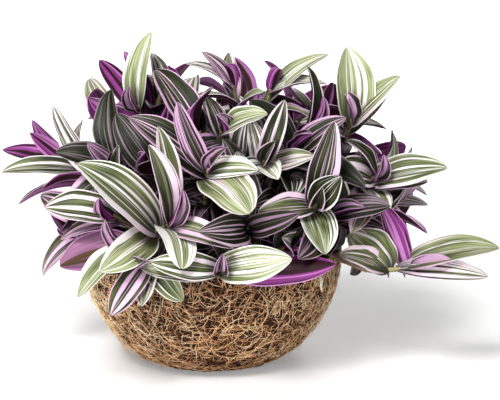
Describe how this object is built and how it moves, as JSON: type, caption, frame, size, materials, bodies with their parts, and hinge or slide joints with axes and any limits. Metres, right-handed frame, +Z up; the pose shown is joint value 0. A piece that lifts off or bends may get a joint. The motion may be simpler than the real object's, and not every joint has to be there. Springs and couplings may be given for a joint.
{
  "type": "potted tradescantia",
  "caption": "Striped trailing house plant: leafy stems fan out of the soil in a low round bowl of coconut fibre.",
  "frame": {"origin": "centre of the bowl's flat base, on the surface that it stands on", "axes": "+Z up, square to the flat base; -Y towards the side that the picture shows; +X to the right seen from there"},
  "size_m": [0.393, 0.3206, 0.272],
  "materials": {
    "coir": "pressed coconut fibre, matte",
    "soil": "dark peat soil, matte",
    "leaf_upper": "fleshy green leaf with cream and pink stripes, satin",
    "leaf_under": "purple underside with darker stripes, satin",
    "stem": "fleshy yellow-green stem, satin"
  },
  "bodies": {
    "root": {"coir_bowl": "coir", "soil": "soil", "stem_centre": "leaf_upper", "stem_far_left": "leaf_upper", "stem_front_left": "leaf_upper", "stem_front_left_low": "leaf_upper", "stem_front_low": "leaf_upper", "stem_front_middle": "leaf_upper", "stem_front_right": "leaf_upper", "stem_inner_1": "leaf_upper", "stem_inner_10": "leaf_upper", "stem_inner_11": "leaf_upper", "stem_inner_12": "leaf_upper", "stem_inner_13": "leaf_upper", "stem_inner_2": "leaf_upper", "stem_inner_3": "leaf_upper", "stem_inner_4": "leaf_upper", "stem_inner_5": "leaf_upper", "stem_inner_6": "leaf_upper", "stem_inner_7": "leaf_upper", "stem_inner_8": "leaf_upper", "stem_inner_9": "leaf_upper", "stem_left": "leaf_upper", "stem_left_low": "leaf_upper", "stem_right": "leaf_upper", "stem_right_low": "leaf_upper", "stem_ring_1_1": "leaf_upper", "stem_ring_1_2": "leaf_upper", "stem_ring_1_3": "leaf_upper", "stem_ring_1_4": "leaf_upper", "stem_ring_1_5": "leaf_upper", "stem_ring_1_6": "leaf_upper", "stem_ring_1_7": "leaf_upper", "stem_ring_1_8": "leaf_upper", "stem_ring_2_1": "leaf_upper", "stem_ring_2_2": "leaf_upper", "stem_ring_2_3": "leaf_upper", "stem_ring_2_4": "leaf_upper", "stem_ring_2_5": "leaf_upper", "stem_ring_2_6": "leaf_upper", "stem_ring_2_7": "leaf_upper", "stem_ring_3_1": "leaf_upper", "stem_ring_3_2": "leaf_upper", "stem_ring_3_3": "leaf_upper", "stem_ring_3_4": "leaf_upper", "stem_ring_3_5": "leaf_upper", "stem_ring_4_1": "leaf_upper", "stem_ring_4_2": "leaf_upper", "stem_top_left": "leaf_upper", "stem_top_left_behind": "leaf_upper", "stem_top_middle": "leaf_upper", "stem_top_middle_right": "leaf_upper", "stem_top_right": "leaf_upper", "stem_trailing_right": "leaf_upper", "stem_upper_middle": "leaf_upper"}
  },
  "joints": []
}
